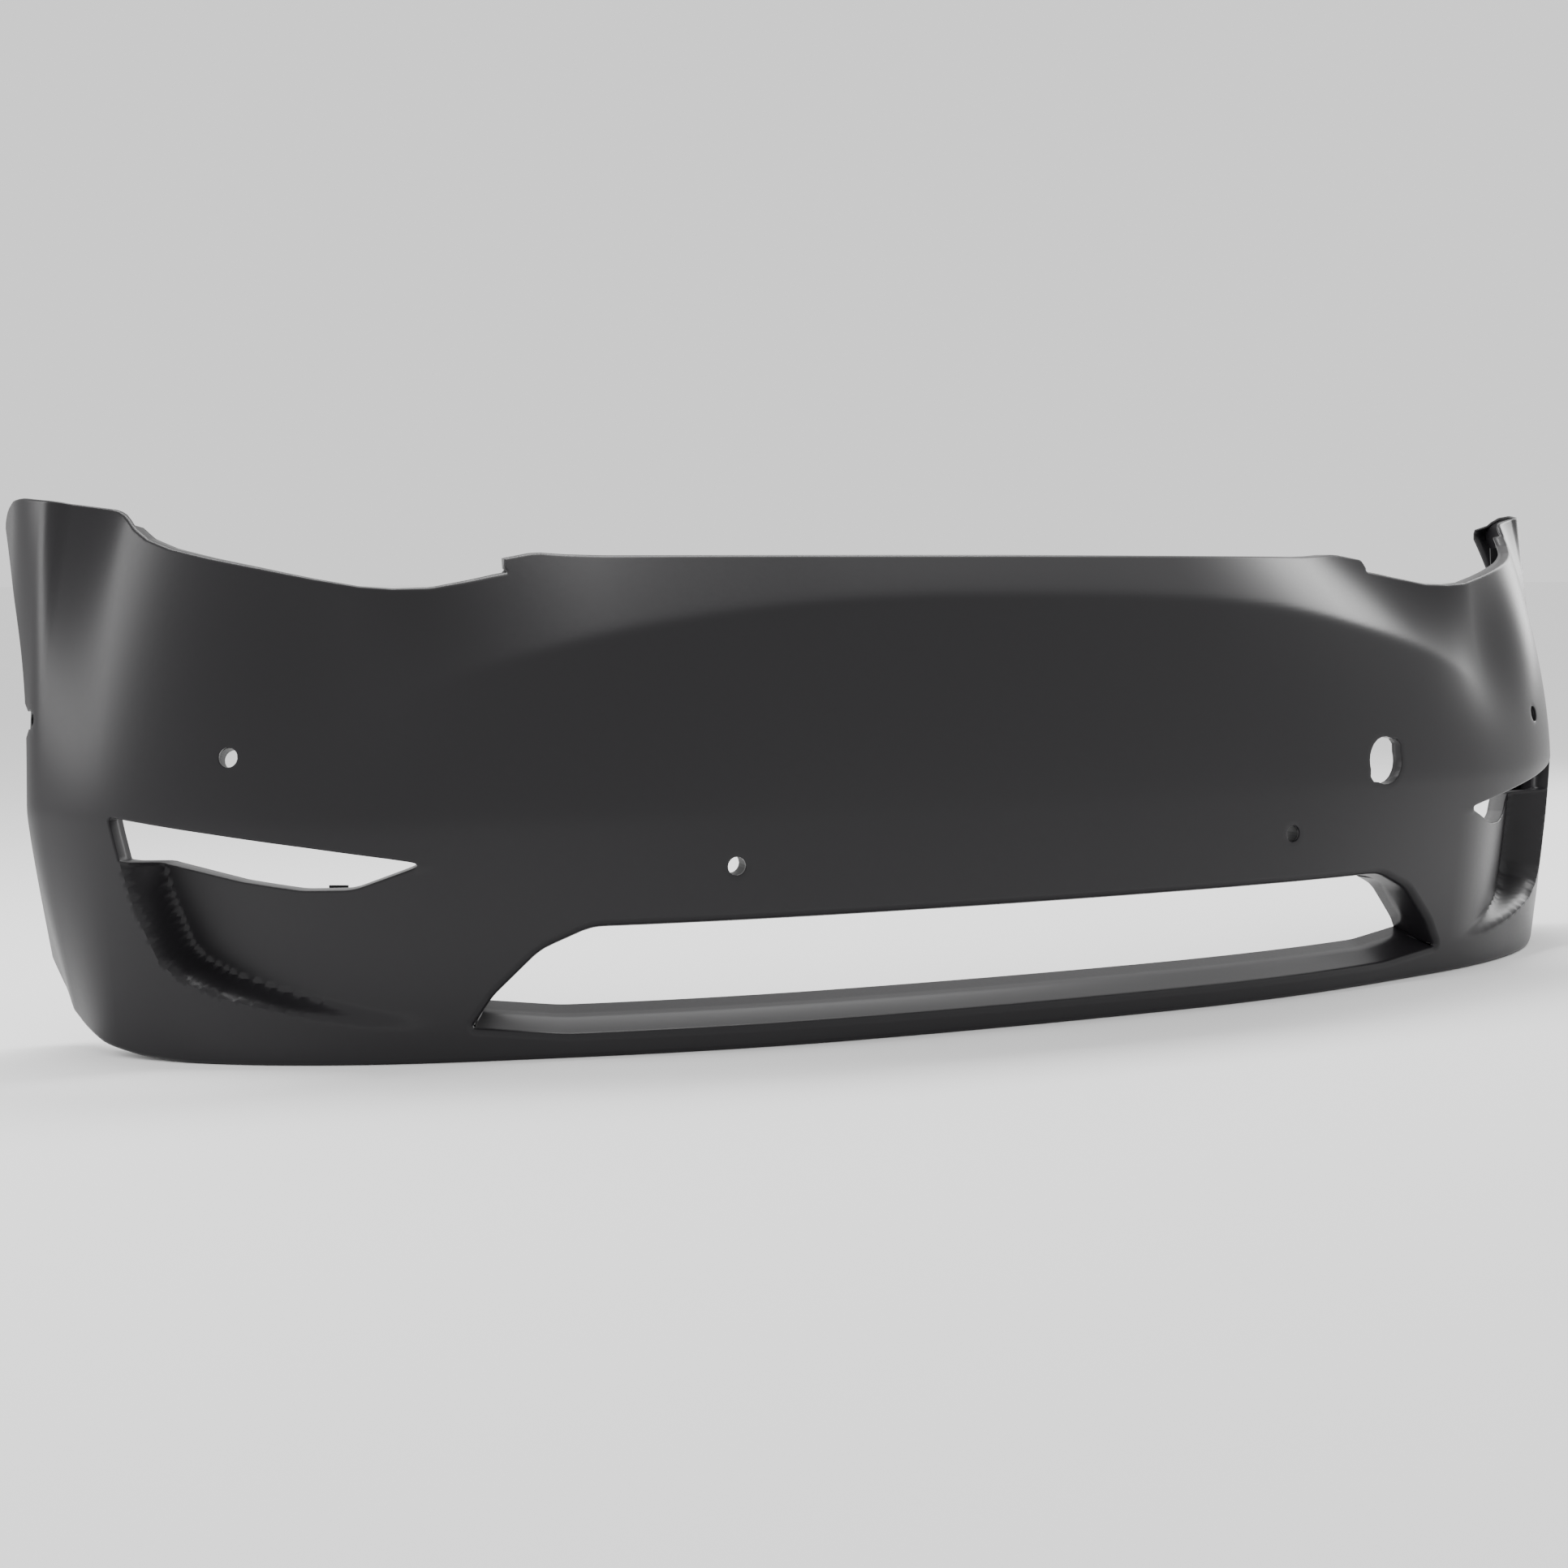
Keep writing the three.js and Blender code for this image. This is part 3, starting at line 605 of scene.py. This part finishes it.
    @staticmethod
    def cells(inside: Array, number: Array, along: Array, across: Array) -> tuple[list, Array]:
        """Faces of the trimmed grid: each cell keeps its inner corners and its crossings.

        Args:
            inside: Which grid places are kept.
            number: Their numbers.
            along: Numbers of the crossings on lines of rising station.
            across: Numbers of the crossings on lines of rising height.

        Returns:
            The faces, and one (leaving, entering) pair of crossings for each cut cell.
        """
        corner = [number[:-1, :-1], number[1:, :-1], number[1:, 1:], number[:-1, 1:]]
        kept = [inside[:-1, :-1], inside[1:, :-1], inside[1:, 1:], inside[:-1, 1:]]
        side = [along[:-1, :-1], across[1:, :-1], along[:-1, 1:], across[:-1, :-1]]
        code = sum(kept[k].astype(int) << k for k in range(4))
        faces, border = [], []
        for case in range(1, 16):
            here = code == case
            if not here.any():
                continue
            ring, leaving, entering = [], [], []
            for k in range(4):
                now, then = case >> k & 1, case >> ((k + 1) % 4) & 1
                if now:
                    ring.append(corner[k][here])
                if now != then:
                    ring.append(side[k][here])
                    (leaving if now else entering).append(side[k][here])
            faces.extend(np.stack(ring, axis=-1).tolist())
            for out, back in zip(leaving, entering if case not in (5, 10) else entering[::-1]):
                border.append(np.stack([out, back], axis=-1))
        return faces, np.concatenate(border)

    def turn_in(self, sheet: Mesh, u: Array, z: Array, deep: Array, border: Array, first: int) -> None:
        """Adds the strip along every border: flat margin, quarter round, then the turned edge.

        Args:
            sheet: The mesh that the strip is added to.
            u: Stations of the border's places.
            z: Their heights.
            deep: Depth of the skin there.
            border: Pairs of places, in the order the face leaves and enters.
            first: Number of the first border place.
        """
        step = 0.2
        _, kind = self.read(u, z)
        grow_u = self.read(u + step, z)[0] - self.read(u - step, z)[0]
        grow_z = self.read(u, z + step)[0] - self.read(u, z - step)[0]
        size = np.maximum(np.hypot(grow_u, grow_z), 1e-9)
        toward = np.stack([-grow_u / size, -grow_z / size], axis=-1)
        margin, roll, depth, draft = (values[kind] for values in (self.margin, self.roll, self.depth, self.draft))
        rings = [(margin - roll, np.zeros_like(roll))]
        for angle in np.radians((24, 47, 69, 90)):
            rings.append((margin - roll + roll * math.sin(angle), roll * (1 - math.cos(angle))))
        for share in (0.5, 1.0):
            rings.append((margin + draft * depth * share, roll + (depth - roll) * share))
        last = first + np.arange(len(u))
        where = np.full(first + len(u), -1)
        where[first:] = np.arange(len(u))
        start, end = where[border[:, 0]], where[border[:, 1]]
        for move, extra in rings:
            ring_u = u + toward[:, 0] * move
            ring_z = z + toward[:, 1] * move
            number = len(sheet.places) + np.arange(len(u))
            quads = np.stack([last[end], last[start], number[start], number[end]], axis=-1)
            sheet.add(self.form.point(ring_u, ring_z, deep + extra), quads.tolist())
            last = number


# ---------------------------------------------------------------- finishes
@dataclass(frozen=True)
class Plastic:
    """A moulded plastic: colour, gloss and the grain that breaks it up."""

    name: str
    colour: tuple
    rough: float
    grain: float = 260.0
    grain_height: float = 0.02
    cloud: float = 0.05
    coat: float = 0.0
    ior: float = 1.48

    def material(self) -> bpy.types.Material:
        """Builds the material.

        Returns:
            A node material on object coordinates: slow noise varies colour, fine noise varies gloss
            and raises the grain.
        """
        made = bpy.data.materials.new(self.name)
        made.use_nodes = True
        nodes, links = made.node_tree.nodes, made.node_tree.links
        shader = nodes["Principled BSDF"]
        shader.inputs["Coat Weight"].default_value = self.coat
        shader.inputs["Coat Roughness"].default_value = 0.18
        shader.inputs["IOR"].default_value = self.ior
        where = nodes.new("ShaderNodeTexCoord")
        slow = self.noise(nodes, links, where, 7.0, 3.0)
        fine = self.noise(nodes, links, where, self.grain, 4.0)
        tint = nodes.new("ShaderNodeMix")
        tint.data_type = "RGBA"
        tint.inputs[6].default_value = (*[c * (1 - self.cloud) for c in self.colour], 1)
        tint.inputs[7].default_value = (*[c * (1 + self.cloud) for c in self.colour], 1)
        links.new(slow.outputs["Fac"], tint.inputs[0])
        links.new(tint.outputs[2], shader.inputs["Base Color"])
        gloss = nodes.new("ShaderNodeMapRange")
        gloss.inputs["To Min"].default_value = self.rough - 0.035
        gloss.inputs["To Max"].default_value = self.rough + 0.035
        links.new(fine.outputs["Fac"], gloss.inputs["Value"])
        links.new(gloss.outputs["Result"], shader.inputs["Roughness"])
        bump = nodes.new("ShaderNodeBump")
        bump.inputs["Strength"].default_value = self.grain_height
        bump.inputs["Distance"].default_value = 0.0006
        links.new(fine.outputs["Fac"], bump.inputs["Height"])
        links.new(bump.outputs["Normal"], shader.inputs["Normal"])
        return made

    @staticmethod
    def noise(nodes: bpy.types.Nodes, links: bpy.types.NodeLinks, where: bpy.types.Node, scale: float,
              detail: float) -> bpy.types.Node:
        """Adds a noise texture that reads object coordinates.

        Args:
            nodes: The material's nodes.
            links: Its links.
            where: The texture coordinate node.
            scale: Waves per metre.
            detail: Octaves.

        Returns:
            The noise node.
        """
        made = nodes.new("ShaderNodeTexNoise")
        made.inputs["Scale"].default_value = scale
        made.inputs["Detail"].default_value = detail
        links.new(where.outputs["Object"], made.inputs["Vector"])
        return made


@dataclass(frozen=True)
class Steel:
    """A plated sheet or screw: metal with fine rolled streaks."""

    name: str
    colour: tuple
    rough: float

    def material(self) -> bpy.types.Material:
        """Builds the material: streaked noise varies gloss and tone.

        Returns:
            The node material.
        """
        made = bpy.data.materials.new(self.name)
        made.use_nodes = True
        nodes, links = made.node_tree.nodes, made.node_tree.links
        shader = nodes["Principled BSDF"]
        shader.inputs["Metallic"].default_value = 1.0
        where = nodes.new("ShaderNodeTexCoord")
        turn = nodes.new("ShaderNodeMapping")
        turn.inputs["Scale"].default_value = (1.0, 1.0, 6.0)
        links.new(where.outputs["Object"], turn.inputs["Vector"])
        noise = nodes.new("ShaderNodeTexNoise")
        noise.inputs["Scale"].default_value = 420.0
        noise.inputs["Detail"].default_value = 3.0
        links.new(turn.outputs["Vector"], noise.inputs["Vector"])
        ramp = nodes.new("ShaderNodeMix")
        ramp.data_type = "RGBA"
        ramp.inputs[6].default_value = (*[c * 0.82 for c in self.colour], 1)
        ramp.inputs[7].default_value = (*[min(1.0, c * 1.15) for c in self.colour], 1)
        links.new(noise.outputs["Fac"], ramp.inputs[0])
        links.new(ramp.outputs[2], shader.inputs["Base Color"])
        gloss = nodes.new("ShaderNodeMapRange")
        gloss.inputs["To Min"].default_value = self.rough - 0.08
        gloss.inputs["To Max"].default_value = self.rough + 0.08
        links.new(noise.outputs["Fac"], gloss.inputs["Value"])
        links.new(gloss.outputs["Result"], shader.inputs["Roughness"])
        return made


FINISHES = {
    "skin": Plastic("satin_black_skin", (0.0105, 0.0098, 0.0112), 0.33, cloud=0.03, ior=1.35),
    "holder": Plastic("holder_black", (0.010, 0.010, 0.011), 0.55, grain=600.0, grain_height=0.08),
    "bracket": Plastic("bracket_black", (0.011, 0.011, 0.012), 0.5, grain=480.0, grain_height=0.1),
    "duct": Plastic("duct_black", (0.014, 0.014, 0.015), 0.6, grain=480.0, grain_height=0.1),
    "screw": Steel("zinc_screw", (0.52, 0.53, 0.55), 0.34),
    "nut": Steel("dark_spring_steel", (0.17, 0.17, 0.18), 0.42),
}


def make_object(name: str, mesh: Mesh, material: bpy.types.Material, sharp: float = 40.0) -> bpy.types.Object:
    """Puts a finished surface into the scene.

    Args:
        name: The piece's name.
        mesh: Its places in metres and its faces.
        material: Its finish.
        sharp: Angle in degrees past which an edge stays crisp.

    Returns:
        The new object, at the origin, riding on the root body.
    """
    data = bpy.data.meshes.new(name)
    data.from_pydata(mesh.places.tolist(), [], mesh.faces)
    data.validate(verbose=False)
    data.polygons.foreach_set("use_smooth", np.ones(len(data.polygons), bool))
    data.set_sharp_from_angle(angle=math.radians(sharp))
    data.materials.append(material)
    made = bpy.data.objects.new(name, data)
    bpy.context.scene.collection.objects.link(made)
    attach(made, "root")
    return made


# ---------------------------------------------------------------- the pieces
@dataclass
class Cover:
    """The moulded skin."""

    form: SkinForm
    outlines: CoverOutlines = field(default_factory=CoverOutlines)
    wall: float = 3.0

    @staticmethod
    def stations() -> Array:
        """Columns of the grid: wide at the middle, close at the scoops and the corners."""
        half = np.concatenate([np.arange(0, 540, 9.0), np.arange(540, 620, 6.0), np.arange(620, 930, 3.4),
                               np.arange(932, 1190, 6.5)])
        return np.concatenate([-half[:0:-1], half])

    @staticmethod
    def heights() -> Array:
        """Rows of the grid: close at the scoops and along the crease."""
        return np.concatenate([np.arange(-8, 20, 5.0), np.arange(20, 200, 3.5), np.arange(200, 340, 6.5),
                               np.arange(340, 536, 4.6)])

    def build(self, finish: bpy.types.Material) -> bpy.types.Object:
        """Makes the skin with its wall.

        Args:
            finish: The skin's material.

        Returns:
            The cover, standing for the CAD node of that name.
        """
        sheet = TrimmedSheet(self.form, self.outlines.all(self.form))
        mesh = sheet.build(self.stations(), self.heights())
        made = make_object("bumper_skin", mesh, finish)
        wall = made.modifiers.new("wall", "SOLIDIFY")
        wall.thickness = self.wall * MM
        wall.offset = -1.0
        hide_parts("cover")
        return made


@dataclass
class Bosses:
    """Screw posts of the skin: each stands under one screw and ends in the wall."""

    radius: float = 5.5 * MM
    sides: int = 20
    sunk: float = 1.5 * MM
    leans: dict = field(default_factory=lambda: {"wing": (0.92907, -0.36363, 0.06782),
                                                 "carrier": (0.4406, -0.894, -0.08151)})
    reach: dict = field(default_factory=lambda: {"wing": 0.0095, "carrier": 0.0105})

    def post(self, foot: Array, way: Array, length: float) -> Mesh:
        """A closed cylinder: two rings round its axis, with a cap on each.

        Args:
            foot: Middle of the end under the fitted piece.
            way: Unit direction to the skin.
            length: Length of the post.

        Returns:
            The post's surface.
        """
        across = np.cross(way, (0.0, 0.0, 1.0))
        across /= np.linalg.norm(across)
        up = np.cross(across, way)
        angle = np.linspace(0, 2 * math.pi, self.sides, endpoint=False)[:, None]
        ring = self.radius * (np.cos(angle) * across + np.sin(angle) * up)
        first, then = np.arange(self.sides), np.roll(np.arange(self.sides), -1)
        walls = np.stack([then, first, first + self.sides, then + self.sides], axis=-1)
        caps = [first.tolist(), (first[::-1] + self.sides).tolist()]
        return Mesh(np.concatenate([foot + ring, foot + ring + way * length]), walls.tolist() + caps)

    def build(self, cover: bpy.types.Object, finish: bpy.types.Material) -> bpy.types.Object:
        """Makes all the posts as one piece of the skin.

        Args:
            cover: The skin, met by a ray along each post.
            finish: The skin's material.

        Returns:
            The posts.
        """
        posts = Mesh(np.zeros((0, 3)), [])
        for name in frame["nodes"]:
            kind, _, rest = name.partition("_screw_")
            if not rest:
                continue
            side = -1.0 if rest.startswith("left") else 1.0
            way = np.array(self.leans[kind]) * (side, 1.0, 1.0)
            way /= np.linalg.norm(way)
            low, high = (np.array(corner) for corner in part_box(name))
            foot = (low + high) / 2 + way * (self.reach[kind] - 0.0085)
            met, place, _, _ = cover.ray_cast(Vector(foot), Vector(way), distance=0.12)
            if not met:
                LOG.warning("no skin in front of %s", name)
                continue
            length = float(np.linalg.norm(np.array(place) - foot)) - self.sunk
            one = self.post(foot, way, length)
            count = len(posts.places)
            posts.add(one.places, [[i + count for i in face] for face in one.faces])
        made = make_object("screw_posts", posts, finish)
        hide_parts("cover")
        return made


@dataclass
class Fittings:
    """The carried CAD pieces behind the skin: each gets the finish of its slot."""

    finishes: dict

    def dress(self) -> list[str]:
        """Gives every carried node its finish.

        Returns:
            The names of the dressed nodes.
        """
        slots = {part["node"]: part["material_slot"] for part in frame["record"]["subparts"]}
        dressed = []
        for name, node in frame["nodes"].items():
            if slots[name] == "skin":
                continue
            node.data.materials.clear()
            node.data.materials.append(self.finishes[slots[name]])
            dressed.append(name)
        return dressed


@dataclass
class Studio:
    """Floor, lights and camera."""

    place: tuple = (-1.2789, -2.271, 0.4577)
    yaw: float = 25.786
    pitch: float = 5.067
    lens: float = 55.9

    def floor(self) -> bpy.types.Object:
        """A wide pale floor just under the piece."""
        data = bpy.data.meshes.new("studio_floor")
        size = 60.0
        data.from_pydata([(-size, -size, 0), (size, -size, 0), (size, size, 0), (-size, size, 0)], [],
                         [(0, 1, 2, 3)])
        made = bpy.data.objects.new("studio_floor", data)
        bpy.context.scene.collection.objects.link(made)
        paint = bpy.data.materials.new("pale_floor")
        paint.use_nodes = True
        shader = paint.node_tree.nodes["Principled BSDF"]
        shader.inputs["Base Color"].default_value = (0.92, 0.92, 0.92, 1)
        shader.inputs["Roughness"].default_value = 0.95
        shader.inputs["Specular IOR Level"].default_value = 0.0
        data.materials.append(paint)
        return made

    def lamp(self, name: str, place: tuple, aim: tuple, size: tuple, power: float) -> None:
        """Adds one soft rectangular light.

        Args:
            name: The light's name.
            place: Where it stands.
            aim: The place it faces.
            size: Its width and height.
            power: Its power in watts.
        """
        data = bpy.data.lights.new(name, "AREA")
        data.shape = "RECTANGLE"
        data.size, data.size_y = size
        data.energy = power
        made = bpy.data.objects.new(name, data)
        bpy.context.scene.collection.objects.link(made)
        made.location = place
        way = np.subtract(aim, place)
        made.rotation_euler = (math.atan2(math.hypot(way[0], way[1]), -way[2]), 0,
                               math.atan2(-way[0], way[1]))

    def camera(self) -> None:
        """Adds the camera, at the height and turn of the view."""
        data = bpy.data.cameras.new("view")
        data.lens = self.lens
        data.sensor_width = 36.0
        data.clip_end = 200.0
        made = bpy.data.objects.new("view", data)
        bpy.context.scene.collection.objects.link(made)
        made.location = self.place
        made.rotation_euler = (math.radians(90 - self.pitch), 0, math.radians(-self.yaw))
        bpy.context.scene.camera = made

    def world(self) -> None:
        """A plain bright surround."""
        made = bpy.data.worlds.new("surround")
        made.use_nodes = True
        back = made.node_tree.nodes["Background"]
        back.inputs["Color"].default_value = (1, 1, 1, 1)
        back.inputs["Strength"].default_value = 1.15
        bpy.context.scene.world = made

    def build(self) -> None:
        """Sets up everything."""
        self.floor()
        self.world()
        self.lamp("overhead", (0.0, 0.6, 2.2), (0.0, -0.1, 0.4), (2.6, 0.5), 60)
        self.lamp("left_strip", (-3.0, 0.5, 1.3), (-0.9, 0.1, 0.3), (0.8, 1.8), 42)
        self.lamp("right_strip", (2.9, 0.9, 1.3), (0.9, 0.1, 0.3), (0.8, 1.8), 34)
        self.camera()


def main() -> None:
    """Builds the pieces in order and reports them."""
    logging.basicConfig(level=logging.INFO, format="%(name)s: %(message)s")
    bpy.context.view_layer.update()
    low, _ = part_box("cover")
    finishes = {slot: finish.material() for slot, finish in FINISHES.items()}
    form = SkinForm(front=low[1])
    cover = Cover(form).build(finishes["skin"])
    LOG.info("%s: %d places", cover.name, len(cover.data.vertices))
    posts = Bosses().build(cover, finishes["skin"])
    LOG.info("%s: %d places", posts.name, len(posts.data.vertices))
    for name in Fittings(finishes).dress():
        LOG.info("dressed %s", name)
    Studio().build()


if __name__ == "__main__":
    main()
